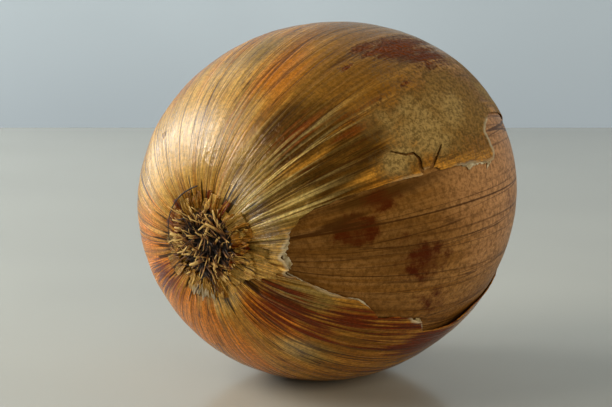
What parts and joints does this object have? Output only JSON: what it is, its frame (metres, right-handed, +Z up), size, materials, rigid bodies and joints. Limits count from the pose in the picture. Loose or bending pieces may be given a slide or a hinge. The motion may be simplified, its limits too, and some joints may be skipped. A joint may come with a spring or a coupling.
{
  "type": "onion",
  "caption": "Dry yellow onion lying on its side, with a root tuft, a papery neck and a torn outer skin that shows the layer below.",
  "frame": {"origin": "middle of the whole onion's box, on the surface that it rests on", "axes": "+Z up from the flat spot it rests on; the root end faces -Y and the neck faces +Y, raised by 5.5 degrees; the torn window in the skin is on the +X side"},
  "size_m": [0.0804, 0.1092, 0.0779],
  "materials": {
    "inner_skin": "brown-tan onion skin with fine lengthwise veins, satin",
    "outer_skin": "dry papery golden-brown onion skin, glossy on the crown, mottled and dull where it has weathered",
    "roots": "dry straw-brown root fibres, matt"
  },
  "bodies": {
    "root": {"bulb": "inner_skin", "outer_skin": "outer_skin", "root_tuft": "roots"}
  },
  "joints": []
}
